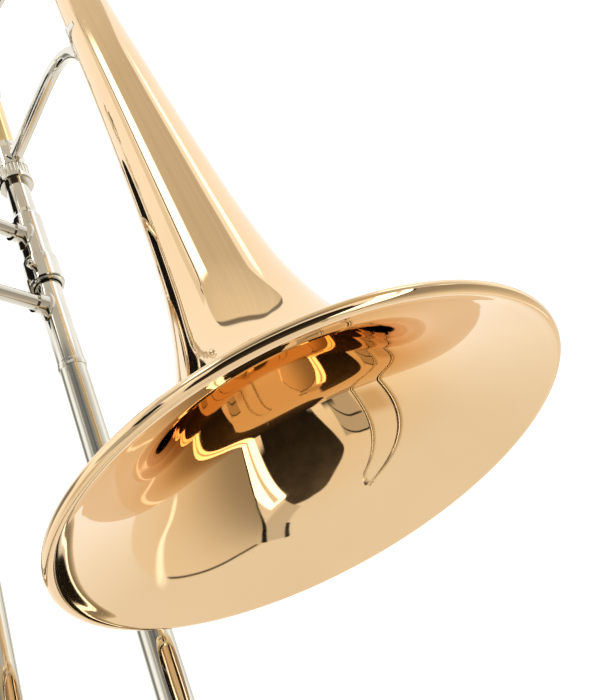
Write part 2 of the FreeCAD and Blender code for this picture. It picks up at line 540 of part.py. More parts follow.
# ------------------------------------------------------------ water key
zt = ZL - OUT_OD
nip = Part.makeCylinder(3.9, 4.2, V(WK_X, 0, zt + 1.2), V(0, 0, -1))
nip = nip.fuse(Part.makeCylinder(5.4, 1.6, V(WK_X, 0, zt + 0.9), V(0, 0, -1)))
nip = nip.cut(Part.makeCylinder(OUT_OD, 20, V(WK_X - 10, 0, ZL), V(1, 0, 0))).cut(nip_hole)
nip = nip.cut(bow)
add("water_key_nipple", biggest(nip))
z_nip = zt - 3.0
cork = Part.makeCylinder(4.3, 2.6, V(WK_X, 0, z_nip - 0.03), V(0, 0, -1))
add("water_key_cork", cork)
PX, PZ = WK_PIVOT_X, WK_PIVOT_Z
knuckle = Part.makeCylinder(2.5, 7.0, V(PX, -3.5, PZ), V(0, 1, 0))
zc = z_nip - 0.03 - 2.6
cup = Part.makeCylinder(5.1, 2.4, V(WK_X, 0, zc + 1.2), V(0, 0, -1)).cut(Part.makeCylinder(4.32, 1.3, V(WK_X, 0, zc + 1.3), V(0, 0, -1)))
arm1 = Part.makeBox(WK_X - PX - 3.0, 4.0, 1.8, V(PX, -3.4, PZ - 1.6))
arm2 = Part.makeBox(24.0, 4.0, 1.6, V(PX - 24.0, -3.4, PZ - 1.9))
tabd = Part.makeCylinder(6.2, 1.6, V(PX - 28.0, -1.4, PZ - 1.9), V(0, 0, 1))
for q in (arm2, tabd):                   # the touch piece slopes away from the tube
    q.rotate(V(PX, 0, PZ), V(0, 1, 0), -6.0)
lever = knuckle.fuse(arm1).fuse(arm2).fuse(tabd).fuse(cup)
lever = lever.cut(Part.makeCylinder(1.25, 20.0, V(PX, -10, PZ), V(0, 1, 0)))
lever = lever.cut(Part.makeCylinder(4.32, 5.0, V(WK_X, 0, zc + 5.0), V(0, 0, -1)))
lever = biggest(lever.removeSplitter())
add("water_key_lever", lever)
pin = Part.makeCylinder(1.2, 14.0, V(PX, -6.8, PZ), V(0, 1, 0))
pin = pin.fuse(Part.makeCylinder(2.1, 1.2, V(PX, -8.0, PZ), V(0, 1, 0))).removeSplitter()
add("water_key_pin", as_solid(pin))
ears = []
plate = saddle(PX, 0, ZL, OUT_OD, 1.0, 9.0, 6.8, "-z")
body = plate
for yy in (-6.6, 5.0):
    e = Part.makeBox(6.4, 1.8, 6.0, V(PX - 3.2, yy, PZ))
    e = e.fuse(Part.makeCylinder(3.2, 1.8, V(PX, yy, PZ), V(0, 1, 0)))
    e = e.cut(Part.makeCylinder(OUT_OD + 0.5, 40, V(PX - 20, 0, ZL), V(1, 0, 0)))
    body = body.fuse(e)
body = body.cut(Part.makeCylinder(1.2, 40.0, V(PX, -20, PZ), V(0, 1, 0))).cut(Part.makeCylinder(OUT_OD, 40, V(PX - 20, 0, ZL), V(1, 0, 0)))
body = biggest(body.removeSplitter())
add("water_key_saddle", body)
# torsion spring: three turns of wire round the knuckle's end
turns, pitch, coil_r, wire_r = 3, 0.95, 3.1, 0.38
path = [V(coil_r * math.cos(2 * math.pi * i / 24), pitch * i / 24, -coil_r * math.sin(2 * math.pi * i / 24))
        for i in range(24 * turns + 1)]
helix = Part.BSplineCurve()
helix.interpolate(path)
sweep = Part.BRepOffsetAPI.MakePipeShell(Part.Wire([helix.toShape()]))
sweep.setFrenetMode(True)
sweep.add(Part.Wire([Part.makeCircle(wire_r, path[0], helix.tangent(helix.FirstParameter)[0])]))
sweep.build()
sweep.makeSolid()
coil = as_solid(sweep.shape())
coil.translate(V(PX, 1.38, PZ))
PARTS["water_key_spring"] = coil

# ------------------------------------------------------------------ export
os.makedirs("parts", exist_ok=True)
for name, shape in PARTS.items():
    shape.exportStep(os.path.join("parts", name + ".step"))
    bb = shape.BoundBox
    ok = all(q.isValid() and q.isClosed() for q in shape.Solids) and len(shape.Solids) > 0
    print("%-26s solids %d vol %9.1f %s x[%.1f %.1f] y[%.1f %.1f] z[%.1f %.1f]" % (
        name, len(shape.Solids), shape.Volume, "ok" if ok else "BAD",
        bb.XMin, bb.XMax, bb.YMin, bb.YMax, bb.ZMin, bb.ZMax))
print(len(PARTS), "nodes")
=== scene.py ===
import bpy, bmesh, json, math
import numpy as np
from mathutils import Matrix, Vector


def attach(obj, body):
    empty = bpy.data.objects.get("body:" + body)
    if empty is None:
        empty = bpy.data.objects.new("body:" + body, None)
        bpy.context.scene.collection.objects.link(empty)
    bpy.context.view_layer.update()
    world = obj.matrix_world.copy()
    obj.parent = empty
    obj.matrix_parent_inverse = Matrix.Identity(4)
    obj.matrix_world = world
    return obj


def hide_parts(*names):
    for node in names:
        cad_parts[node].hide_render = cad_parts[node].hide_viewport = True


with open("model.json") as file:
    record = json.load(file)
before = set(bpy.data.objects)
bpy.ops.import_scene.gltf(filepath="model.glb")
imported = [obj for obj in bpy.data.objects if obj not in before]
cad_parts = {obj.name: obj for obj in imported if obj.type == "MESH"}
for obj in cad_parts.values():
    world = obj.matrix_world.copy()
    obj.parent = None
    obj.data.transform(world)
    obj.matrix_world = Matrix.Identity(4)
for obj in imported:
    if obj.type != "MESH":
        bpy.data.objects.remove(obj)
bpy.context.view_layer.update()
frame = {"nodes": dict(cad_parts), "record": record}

scene = bpy.context.scene
NODES = frame["nodes"]

# ------------------------------------------------------------------ camera
CAM_POS = (0.37456668, 0.25359255, 0.23001062)
CAM_RIGHT = Vector((0.3894422651, 0.6658047149, -0.6364265894))
CAM_DOWN = Vector((0.6599288933, -0.6837274686, -0.3114652539))
CAM_FWD = Vector((-0.6425173755, -0.2986985608, -0.7056561428))
cam_data = bpy.data.cameras.new("camera")
cam = bpy.data.objects.new("camera", cam_data)
scene.collection.objects.link(cam)
m = Matrix.Identity(4)
for i in range(3):
    m[i][0], m[i][1], m[i][2], m[i][3] = CAM_RIGHT[i], -CAM_DOWN[i], -CAM_FWD[i], CAM_POS[i]
cam.matrix_world = m
cam_data.sensor_width = 36.0
cam_data.sensor_fit = "AUTO"
cam_data.lens = 818.889 / 700.0 * 36.0
cam_data.shift_x = 34.0 / 700.0
cam_data.shift_y = -128.0 / 700.0
cam_data.clip_start, cam_data.clip_end = 0.01, 50.0
cam_data.dof.use_dof = False
scene.camera = cam

# --------------------------------------------------------- dimensions, metres
MM = 0.001
ZL = -40.0
BELL_R, BELL_WALL, BELL_OFFSET = 101.6, 0.6, 114.4
X_RIM, BEAD_R, BELL_TAIL = 255.0, 2.5, 424.0
TURN = math.radians(7.5)
BELL_Y = BELL_OFFSET * math.cos(TURN)
BELL_Z = ZL + BELL_OFFSET * math.sin(TURN)


def link(name, mesh):
    ob = bpy.data.objects.new(name, mesh)
    scene.collection.objects.link(ob)
    return ob


def smooth_all(mesh):
    mesh.polygons.foreach_set("use_smooth", [True] * len(mesh.polygons))


# ------------------------------------------------------------- bell profile
FLARE_S0, FLARE_A = 18.2, 0.7
MOUTH_D, MOUTH_W = 3.3, 72.0
TAIL_KNOTS = [(118.0, 25.3), (141.1, 23.4), (188.1, 21.0), (244.6, 18.75), (310.4, 16.6),
              (370.0, 14.9), (400.0, 13.7), (BELL_TAIL, 12.6)]


def flare_r(s):
    return BELL_R * (FLARE_S0 / (s + FLARE_S0)) ** FLARE_A


def deeper(r):
    u = (BELL_R - r) / MOUTH_W
    return MOUTH_D * math.sin(math.pi * u) if 0.0 < u < 1.0 else 0.0


def flare_s(r):
    return FLARE_S0 * ((BELL_R / r) ** (1 / FLARE_A) - 1) + deeper(r)


def cubic(t, p, d0, d1):
    """Clamped cubic spline through p at parameters t: second derivatives at the knots."""
    n = len(t)
    a = np.zeros((n, n))
    b = np.zeros((n, p.shape[1]))
    h = np.diff(t)
    a[0, 0], a[0, 1] = 2 * h[0], h[0]
    b[0] = 6 * ((p[1] - p[0]) / h[0] - d0)
    for i in range(1, n - 1):
        a[i, i - 1], a[i, i], a[i, i + 1] = h[i - 1], 2 * (h[i - 1] + h[i]), h[i]
        b[i] = 6 * ((p[i + 1] - p[i]) / h[i] - (p[i] - p[i - 1]) / h[i - 1])
    a[-1, -2], a[-1, -1] = h[-1], 2 * h[-1]
    b[-1] = 6 * (d1 - (p[-1] - p[-2]) / h[-1])
    return np.linalg.solve(a, b)


def spline_at(t, p, m2, q):
    i = np.clip(np.searchsorted(t, q) - 1, 0, len(t) - 2)
    h = (t[i + 1] - t[i])[:, None]
    u0, u1 = (t[i + 1] - q)[:, None], (q - t[i])[:, None]
    pos = (m2[i] * u0 ** 3 + m2[i + 1] * u1 ** 3) / (6 * h) + (p[i] / h - m2[i] * h / 6) * u0 + (p[i + 1] / h - m2[i + 1] * h / 6) * u1
    der = (-m2[i] * u0 ** 2 + m2[i + 1] * u1 ** 2) / (2 * h) - (p[i] / h - m2[i] * h / 6) + (p[i + 1] / h - m2[i + 1] * h / 6)
    return pos, der


def bell_curve():
    """Closed wall section of the bell: (x from the mouth plane, radius), mm, with the rolled bead."""
    bead_c_r = BELL_R - BEAD_R
    r0 = bead_c_r - 0.58
    s0 = flare_s(r0)
    ang = math.atan((s0 - deeper(r0) + FLARE_S0) / (FLARE_A * r0)
                    + MOUTH_D * math.pi / MOUTH_W * math.cos(math.pi * (BELL_R - r0) / MOUTH_W))
    rho = BEAD_R - BELL_WALL / 2
    cy = r0 + rho * math.sin(ang)
    shift = bead_c_r - cy
    cx = -s0 - rho * math.cos(ang)
    cy += shift
    r0 += shift
    mid = [(-s0, r0)]
    r = r0 - 2.0
    while r > 46.0:
        mid.append((-flare_s(r), r))
        r -= 2.6
    for s in (38.0, 43.0, 49.0, 56.0, 64.0, 73.0, 84.0, 96.0):
        mid.append((-s - deeper(flare_r(s)), flare_r(s)))
    mid += [(-s, q) for s, q in TAIL_KNOTS]
    p = np.array(mid)
    t = np.concatenate([[0.0], np.cumsum(np.linalg.norm(np.diff(p, axis=0), axis=1))])
    d0 = np.array([-math.sin(ang), -math.cos(ang)])
    d1 = np.array([-1.0, -0.05]) / math.hypot(1, 0.05)
    m2 = cubic(t, p, d0, d1)
    q = np.concatenate([np.linspace(0, 90, 110), np.linspace(90, t[-1], 150)[1:]])
    c, d = spline_at(t, p, m2, q)
    d /= np.linalg.norm(d, axis=1)[:, None]
    n = np.stack([d[:, 1], -d[:, 0]], 1)          # towards the outside of the bell
    n[n[:, 1] < 0] *= -1
    h = BELL_WALL / 2
    return c, n, h, (cx, cy, ang)


def bell_mesh(turns=420):
    c, n, h, (cx, cy, ang) = bell_curve()
    front = c - n * h
    back = c + n * h
    ro = math.hypot(front[0][0] - cx, front[0][1] - cy)
    ri = math.hypot(back[0][0] - cx, back[0][1] - cy)
    a0 = math.degrees(math.atan2(front[0][1] - cy, front[0][0] - cx))
    a1 = 282.0
    arc = np.radians(np.linspace(a0, a1, 60))
    roll_out = [(cx + ro * math.cos(a), cy + ro * math.sin(a)) for a in arc]
    roll_in = [(cx + ri * math.cos(a), cy + ri * math.sin(a)) for a in arc]
    # one closed loop: up the front from the tail, round the bead, back along the inside of the bead, down the back
    loop = [tuple(x) for x in front[::-1]] + roll_out[1:] + roll_in[::-1] + [tuple(x) for x in back[1:]]
    k = len(loop)
    verts = np.zeros((k, turns, 3))
    ang_ = np.linspace(0, 2 * math.pi, turns, endpoint=False)
    lp = np.array(loop)
    verts[:, :, 0] = lp[:, 0][:, None]
    verts[:, :, 1] = lp[:, 1][:, None] * np.cos(ang_)[None]
    verts[:, :, 2] = lp[:, 1][:, None] * np.sin(ang_)[None]
    v = verts.reshape(-1, 3)
    v[:, 0] += X_RIM
    v[:, 1] += BELL_Y
    v[:, 2] += BELL_Z
    v *= MM
    i = np.arange(k)[:, None] * turns
    j = np.arange(turns)[None]
    i2 = ((np.arange(k) + 1) % k)[:, None] * turns
    j2 = ((np.arange(turns) + 1) % turns)[None]
    f = np.stack([i + j, i + j2, i2 + j2, i2 + j], -1).reshape(-1, 4)
    me = bpy.data.meshes.new("bell_surface")
    me.vertices.add(len(v))
    me.vertices.foreach_set("co", v.ravel())
    me.loops.add(len(f) * 4)
    me.loops.foreach_set("vertex_index", f.ravel())
    me.polygons.add(len(f))
    me.polygons.foreach_set("loop_start", np.arange(len(f)) * 4)
    me.polygons.foreach_set("loop_total", np.full(len(f), 4))
    me.update(calc_edges=True)
    me.validate()
    smooth_all(me)
    bm = bmesh.new()
    bm.from_mesh(me)
    bmesh.ops.recalc_face_normals(bm, faces=bm.faces)
    # the two ends of the wall and the rolled edge's lip are sharp
    for e in bm.edges:
        if len(e.link_faces) == 2 and e.calc_face_angle(0) > math.radians(40):
            e.smooth = False
    bm.to_mesh(me)
    bm.free()
    return me


bell = link("bell_surface", bell_mesh())
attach(bell, "bell_section")
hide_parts("bell_flare", "bell_stem")

# ---------------------------------------------------------------- materials
class Nodes:
    def __init__(self, tree):
        self.t = tree

    def new(self, kind, *inputs, **attrs):
        n = self.t.nodes.new(kind)
        for k, v in attrs.items():
            setattr(n, k, v)
        for i, v in enumerate(inputs):
            if v is None:
                continue
            if hasattr(v, "is_linked") or hasattr(v, "links"):
                self.t.links.new(v, n.inputs[i])
            else:
                n.inputs[i].default_value = v
        return n

    def math(self, op, a, b=None, c=None, clamp=False):
        n = self.new("ShaderNodeMath", a, b, c, operation=op)
        n.use_clamp = clamp
        return n.outputs[0]

    def ramp(self, v, lo, hi):
        """0 at lo, 1 at hi, smooth between."""
        n = self.new("ShaderNodeMapRange", v, lo, hi, 0.0, 1.0, interpolation_type="SMOOTHSTEP")
        n.clamp = True
        return n.outputs[0]

    def span(self, v, lo, hi, out0, out1):
        n = self.new("ShaderNodeMapRange", v, lo, hi, out0, out1)
        n.clamp = True
        return n.outputs[0]

    def mul(self, *vs):
        out = vs[0]
        for v in vs[1:]:
            out = self.math("MULTIPLY", out, v)
        return out

    def curve(self, v, pts):
        """Piecewise straight function of v through pts (x, y), flat outside."""
        x0, x1 = pts[0][0], pts[-1][0]
        ys = [y for _, y in pts]
        y0, y1 = min(ys), max(ys)
        if y1 - y0 < 1e-9:
            y1 = y0 + 1e-6
        f = self.new("ShaderNodeMapRange", v, x0, x1, 0.0, 1.0)
        f.clamp = True
        c = self.t.nodes.new("ShaderNodeFloatCurve")
        cm = c.mapping.curves[0]
        q = [((x - x0) / (x1 - x0), (y - y0) / (y1 - y0)) for x, y in pts]
        cm.points[0].location = q[0]
        cm.points[1].location = q[-1]
        for k in q[1:-1]:
            cm.points.new(*k)
        for k in cm.points:
            k.handle_type = "AUTO"
        c.mapping.update()
        self.t.links.new(f.outputs[0], c.inputs["Value"])
        g = self.new("ShaderNodeMapRange", c.outputs[0], 0.0, 1.0, y0, y1)
        g.clamp = True
        return g.outputs[0]

    def mix(self, fac, a, b):
        n = self.t.nodes.new("ShaderNodeMix")
        n.data_type = "RGBA"
        n.clamp_factor = True
        for i, v in ((0, fac), (6, a), (7, b)):
            if hasattr(v, "links"):
                self.t.links.new(v, n.inputs[i])
            else:
                n.inputs[i].default_value = v if i == 0 else (*v, 1)
        return n.outputs[2]

    def noise(self, vec, scale, detail=2.0, rough=0.5):
        return self.new("ShaderNodeTexNoise", vec, None, scale, detail, rough).outputs[0]

    def scaled(self, vec, sx, sy, sz):
        return self.new("ShaderNodeVectorMath", vec, (sx, sy, sz), operation="MULTIPLY").outputs[0]


MATS = {}


def new_mat(name):
    mat = bpy.data.materials.new(name)
    mat.use_nodes = True
    nt = mat.node_tree
    MATS[name] = mat
    return mat, Nodes(nt), nt.nodes["Principled BSDF"]


def set_in(g, bsdf, name, v):
    if hasattr(v, "links"):
        g.t.links.new(v, bsdf.inputs[name])
    else:
        bsdf.inputs[name].default_value = v


def bump(g, bsdf, height, strength, distance):
    b = g.t.nodes.new("ShaderNodeBump")
    b.inputs["Strength"].default_value = strength
    b.inputs["Distance"].default_value = distance
    g.t.links.new(height, b.inputs["Height"])
    g.t.links.new(b.outputs[0], bsdf.inputs["Normal"])
    return b


def polished(name, color, worn, rough, rough_hi, lines, coat=0.0, draw=(6.0, 700.0, 700.0), depth=2.0e-7):
    """Polished metal: a faint tone change, hazy patches, draw lines and a few fine pits.
    draw scales the line noise along X, Y, Z in 1/m."""
    mat, g, b = new_mat(name)
    obj = g.t.nodes.new("ShaderNodeTexCoord").outputs["Object"]
    tone = g.noise(obj, 26.0, 3.0, 0.55)
    haze = g.ramp(g.noise(obj, 55.0, 4.0, 0.6), 0.50, 0.74)
    streak = g.noise(g.scaled(obj, *draw), 1.0, 2.0, 0.6)
    speck = g.ramp(g.noise(obj, 900.0, 1.0, 0.4), 0.765, 0.80)
    fac = g.math("ADD", g.mul(g.ramp(tone, 0.42, 0.72), 0.55), g.mul(speck, 0.5), clamp=True)
    set_in(g, b, "Base Color", g.mix(fac, color, worn))
    b.inputs["Metallic"].default_value = 1.0
    r = g.math("ADD", g.span(streak, 0.3, 0.75, rough, rough + lines), g.mul(haze, rough_hi - rough))
    set_in(g, b, "Roughness", g.math("ADD", r, g.mul(speck, 0.12)))
    if coat:
        b.inputs["Coat Weight"].default_value = coat
        b.inputs["Coat Roughness"].default_value = 0.02
    bump(g, b, g.math("ADD", streak, g.mul(speck, 1.5)), 0.35, depth)
    return mat


polished("nickel_silver_m", (0.77, 0.735, 0.655), (0.68, 0.63, 0.54), 0.045, 0.13, 0.05)
polished("chrome_m", (0.74, 0.75, 0.755), (0.66, 0.67, 0.67), 0.02, 0.06, 0.025, draw=(4.0, 900.0, 900.0))
polished("silver_plate_m", (0.93, 0.915, 0.87), (0.80, 0.76, 0.66), 0.035, 0.12, 0.03, draw=(800.0, 30.0, 30.0))
polished("yellow_brass_m", (0.86, 0.68, 0.36), (0.70, 0.50, 0.24), 0.05, 0.14, 0.05)
polished("steel_m", (0.56, 0.55, 0.53), (0.42, 0.40, 0.37), 0.16, 0.34, 0.10, draw=(300.0, 300.0, 300.0))

# rose brass of the bell: spinning lines run round the bell's own axis
mat, g, b = new_mat("rose_brass_m")
obj = g.t.nodes.new("ShaderNodeTexCoord").outputs["Object"]
rel = g.new("ShaderNodeVectorMath", obj, (0.0, -BELL_Y * MM, -BELL_Z * MM), operation="ADD").outputs[0]
sp = g.t.nodes.new("ShaderNodeSeparateXYZ")
g.t.links.new(rel, sp.inputs[0])
axial = sp.outputs[0]
radius = g.math("SQRT", g.math("ADD", g.math("MULTIPLY", sp.outputs[1], sp.outputs[1]),
                               g.math("MULTIPLY", sp.outputs[2], sp.outputs[2])))
along = g.math("ADD", g.math("MULTIPLY", radius, 1.0), g.math("MULTIPLY", axial, -0.7))
wob = g.noise(obj, 9.0, 1.0, 0.5)
spin_v = g.new("ShaderNodeCombineXYZ", g.math("MULTIPLY", along, 2600.0), g.math("MULTIPLY", wob, 3.0), 0.0).outputs[0]
spin = g.noise(spin_v, 1.0, 2.0, 0.65)
tone = g.noise(obj, 14.0, 3.0, 0.55)
haze = g.ramp(g.noise(obj, 38.0, 4.0, 0.6), 0.52, 0.74)
speck = g.ramp(g.noise(obj, 620.0, 1.0, 0.3), 0.775, 0.80)
swirl = g.noise(g.scaled(obj, 20.0, 220.0, 220.0), 1.0, 2.0, 0.6)
fac = g.math("ADD", g.mul(g.ramp(tone, 0.44, 0.74), 0.5), g.mul(speck, 0.7), clamp=True)
# painted reflection colour: a deeper copper inside the throat stands in for light bounced between its walls; a tone
# chosen, not a known finish
sn = g.t.nodes.new("ShaderNodeSeparateXYZ")
g.t.links.new(g.t.nodes.new("ShaderNodeTexCoord").outputs["Normal"], sn.inputs[0])
inward = g.math("DIVIDE", g.math("ADD", g.math("MULTIPLY", sn.outputs[1], sp.outputs[1]),
                                 g.math("MULTIPLY", sn.outputs[2], sp.outputs[2])), g.math("MULTIPLY", radius, -1.0))
painted_bounce_tint = g.mul(g.ramp(inward, 0.05, 0.25), g.ramp(g.math("SUBTRACT", 0.072, radius), 0.0, 0.030))
# its third colour is the painted bounce-light copper inside the throat, not the metal's own tone
set_in(g, b, "Base Color", g.mix(painted_bounce_tint, g.mix(fac, (0.885, 0.645, 0.385), (0.835, 0.585, 0.335)), (0.875, 0.56, 0.265)))
b.inputs["Metallic"].default_value = 1.0
r = g.math("ADD", g.span(spin, 0.3, 0.75, 0.026, 0.048), g.mul(haze, 0.035))
set_in(g, b, "Roughness", g.math("ADD", r, g.mul(speck, 0.12)))
b.inputs["Coat Weight"].default_value = 0.06
b.inputs["Coat Roughness"].default_value = 0.015
bump(g, b, g.math("ADD", g.math("ADD", spin, g.mul(swirl, 0.8)), g.mul(speck, 2.0)), 0.30, 2.2e-7)

# cork: granular, matt
mat, g, b = new_mat("cork_m")
obj = g.t.nodes.new("ShaderNodeTexCoord").outputs["Object"]
cell = g.new("ShaderNodeTexVoronoi", obj, None, 1400.0)
cg = g.noise(obj, 900.0, 4.0, 0.7)
set_in(g, b, "Base Color", g.mix(g.math("ADD", g.mul(cell.outputs[0], 0.6), g.mul(cg, 0.5), clamp=True),
                                 (0.30, 0.17, 0.08), (0.62, 0.42, 0.24)))
set_in(g, b, "Roughness", g.span(cg, 0.3, 0.7, 0.78, 0.95))
bump(g, b, g.math("ADD", cell.outputs[0], cg), 0.5, 2.0e-4)

# black rubber and felt: matt with a scuffed sheen
mat, g, b = new_mat("rubber_m")
obj = g.t.nodes.new("ShaderNodeTexCoord").outputs["Object"]
rg = g.noise(obj, 240.0, 4.0, 0.65)
fine = g.noise(obj, 2600.0, 2.0, 0.5)
set_in(g, b, "Base Color", g.mix(g.ramp(rg, 0.45, 0.75), (0.016, 0.016, 0.017), (0.055, 0.052, 0.05)))
set_in(g, b, "Roughness", g.span(rg, 0.3, 0.7, 0.48, 0.74))
bump(g, b, g.math("ADD", rg, g.mul(fine, 0.6)), 0.5, 8.0e-5)

SLOT_MAT = {"bell_brass": "rose_brass_m", "nickel_silver": "nickel_silver_m", "inner_chrome": "chrome_m",
            "rim_steel": "steel_m", "silver_plate": "silver_plate_m", "key_brass": "yellow_brass_m",
            "spring_steel": "steel_m", "cork": "cork_m", "felt_rubber": "rubber_m"}
SLOT_OF = {q["node"]: q["material_slot"] for q in frame["record"]["subparts"]}
bell.data.materials.append(MATS["rose_brass_m"])
for n, o in NODES.items():
    for sl in o.material_slots:
        sl.material = MATS[SLOT_MAT[SLOT_OF[n]]]

# ------------------------------------------------------------ floor and light
me = bpy.data.meshes.new("floor")
bm = bmesh.new()
bmesh.ops.create_grid(bm, x_segments=1, y_segments=1, size=6.0)
bm.to_mesh(me)
bm.free()
floor = link("floor", me)
floor.location = (0, 0, -0.75)
fm, g, b = new_mat("floor_white")
b.inputs["Base Color"].default_value = (0.85, 0.85, 0.85, 1)
b.inputs["Roughness"].default_value = 0.9
b.inputs["Emission Color"].default_value = (1.0, 1.0, 1.0, 1)
b.inputs["Emission Strength"].default_value = 0.65
floor.data.materials.append(fm)
floor.visible_glossy = False

# A small black flag stands at the grip, out of the camera's sight; polished metal mirrors it.
flag_me = bpy.data.meshes.new("flag")
bm = bmesh.new()
bmesh.ops.create_icosphere(bm, subdivisions=4, radius=1.0)
for v in bm.verts:
    d = v.co.normalized()
    k = (abs(d.x) ** 3 + abs(d.y) ** 3 + abs(d.z) ** 3) ** (-1.0 / 3.0)
    v.co = Vector((d.x * k * 0.062, d.y * k * 0.022, d.z * k * 0.028))
bm.to_mesh(flag_me)
bm.free()
smooth_all(flag_me)
flag = link("flag", flag_me)
flag.location = (-0.030, -0.030, 0.002)
gm, g, b = new_mat("flag_black")
b.inputs["Base Color"].default_value = (0.012, 0.011, 0.010, 1)
b.inputs["Roughness"].default_value = 0.9
b.inputs["Specular IOR Level"].default_value = 0.1
flag.data.materials.append(gm)
flag.visible_camera = False
flag.visible_shadow = False
flag.visible_diffuse = False

# The studio: white all round, with grey panels, strip lights and one dark side, by
# direction from the object.  th is the angle from +X, ph the angle round X from +Y
# towards +Z, both in degrees.
world = bpy.data.worlds.new("studio")
scene.world = world
world.use_nodes = True
wt = world.node_tree
wt.nodes.clear()
W = Nodes(wt)
tc = wt.nodes.new("ShaderNodeTexCoord")
sep = wt.nodes.new("ShaderNodeSeparateXYZ")
BLK = (0.012, 0.011, 0.010)
nrm = W.new("ShaderNodeVectorMath", tc.outputs["Generated"], operation="NORMALIZE")
wt.links.new(nrm.outputs[0], sep.inputs[0])
DEG = 180 / math.pi
th = W.math("MULTIPLY", W.math("ARCCOSINE", W.math("MINIMUM", W.math("MAXIMUM", sep.outputs[0], -1.0), 1.0)), DEG)
ph = W.math("MULTIPLY", W.math("ARCTAN2", sep.outputs[2], sep.outputs[1]), DEG)          # -180..180
ph2 = W.math("MODULO", W.math("ADD", ph, 360.0), 360.0)                                   # 0..360


def patch(p, a0, a1, b0, b1, soft=1.5, tsoft=None):
    """Mask of a patch between angles a0..a1 of p and b0..b1 of th (numbers or curves)."""
    ts = soft if tsoft is None else tsoft

    def up(v, e, w):
        d = W.math("SUBTRACT", v, e)
        return W.ramp(d, -w / 2, w / 2)

    def dn(v, e, w):
        d = W.math("SUBTRACT", e, v)
        return W.ramp(d, -w / 2, w / 2)
    return W.mul(up(p, a0, soft), dn(p, a1, soft), up(th, b0, ts), dn(th, b1, ts))


def tube_line(p, pts, w, soft=0.6):
    """Thin line th = f(p), between the ends of pts."""
    f = W.curve(p, pts)
    d = W.math("ABSOLUTE", W.math("SUBTRACT", th, f))
    return W.mul(W.ramp(W.math("SUBTRACT", w + soft, d), 0.0, soft),
                 W.ramp(W.math("SUBTRACT", p, pts[0][0]), 0.0, 1.0),
                 W.ramp(W.math("SUBTRACT", pts[-1][0], p), 0.0, 1.0))


def mixc(fac, a, b):
    return W.mix(fac, a, b)


# base: cream ahead, brighter to the sides and behind
amt = W.ramp(th, 46.0, 92.0)
col = W.mix(amt, (0.91, 0.885, 0.83), (1.12, 1.12, 1.12))
# ahead, low on the right: a large grey panel that brightens away from the strip light
shade = W.curve(ph, [(-100, 0.86), (-80, 0.80), (-58, 0.62), (-38, 0.44), (-20, 0.34), (-3, 0.32)])
pan_d = patch(ph, W.curve(th, [(22, -58), (26, -67), (32, -76), (38, -85), (48, -94), (60, -100), (95, -110)]),
              W.curve(th, [(22, -48), (26, -29), (32, -18), (38, -13.5), (45, -9.5), (60, -5), (95, -2.5)]), 22.0, 96.0, 1.5)
shade_c = W.new("ShaderNodeCombineColor", W.math("MULTIPLY", shade, 1.10), shade, W.math("MULTIPLY", shade, 0.84))
col = mixc(pan_d, col, shade_c.outputs[0])
col = mixc(patch(ph, -58.0, 10.0, 15.3, 24.0, 2.0), col, (0.66, 0.63, 0.57))
col = mixc(patch(ph, W.curve(th, [(50, -97), (55, -94), (60, -91), (66, -84.5), (72, -82)]),
                 W.curve(th, [(50, -93.5), (55, -90.5), (60, -87.5), (66, -81), (72, -79)]), 49.0, 74.0, 2.5, 5.0), col, (1.5, 1.48, 1.45))
# the strip light beside it, and the dark side of the room
col = mixc(patch(ph, W.curve(th, [(26, -12.5), (36, -12), (45, -9), (60, -4.5), (95, -2.5)]), 13.2, 26.5, 97.0, 1.2), col, (3.0, 2.95, 2.9))
col = mixc(patch(ph, W.curve(th, [(28, -3.5), (50, 1.0), (95, 2.5)]), W.curve(th, [(28, 4.5), (50, 4.5), (95, 5.0)]), 28.0, 97.0, 1.2), col, (0.92, 0.88, 0.80))
dark_edge = W.curve(ph, [(6, 19.5), (12, 17.8), (30, 15.6), (50, 15.6), (65, 17.5), (75, 21), (85, 26), (95, 32), (101, 40), (106, 60)])
dark_th = W.ramp(W.math("SUBTRACT", th, dark_edge), -0.7, 0.9)
dark = W.mul(dark_th, W.ramp(ph, W.curve(th, [(25.5, 7.0), (27.5, 13.6)]), W.curve(th, [(25.5, 8.6), (27.5, 14.8)])),
             W.ramp(W.math("SUBTRACT", W.curve(th, [(40, 101), (50, 97), (60, 92), (70, 88), (110, 85)]), ph), 0.0, 2.0),
             W.ramp(W.math("SUBTRACT", W.curve(ph, [(10, 66), (19, 68), (21.5, 77), (29, 84), (50, 92), (72, 95), (82, 76), (110, 72)]), th), 0.0, 8.0))
n = W.new("ShaderNodeTexNoise", nrm.outputs[0], None, 5.0, 4.0, 0.6)
dk = W.curve(th, [(16, 0.10), (30, 0.06), (45, 0.035), (70, 0.018)])
dkn = W.math("MULTIPLY", dk, W.math("ADD", W.math("MULTIPLY", n.outputs[0], 1.4), 0.3))
dk_c = W.new("ShaderNodeCombineColor", dkn, W.math("MULTIPLY", dkn, 0.84), W.math("MULTIPLY", dkn, 0.66))
col = mixc(dark, col, dk_c.outputs[0])
# grey panels above the dark side
col = mixc(patch(ph, 106.0, 134.0, 45.0, 90.0, 2.0), col, (0.55, 0.53, 0.49))
col = mixc(patch(ph, 100.0, 113.5, 68.0, 95.0, 2.5, 6.0), col, BLK)
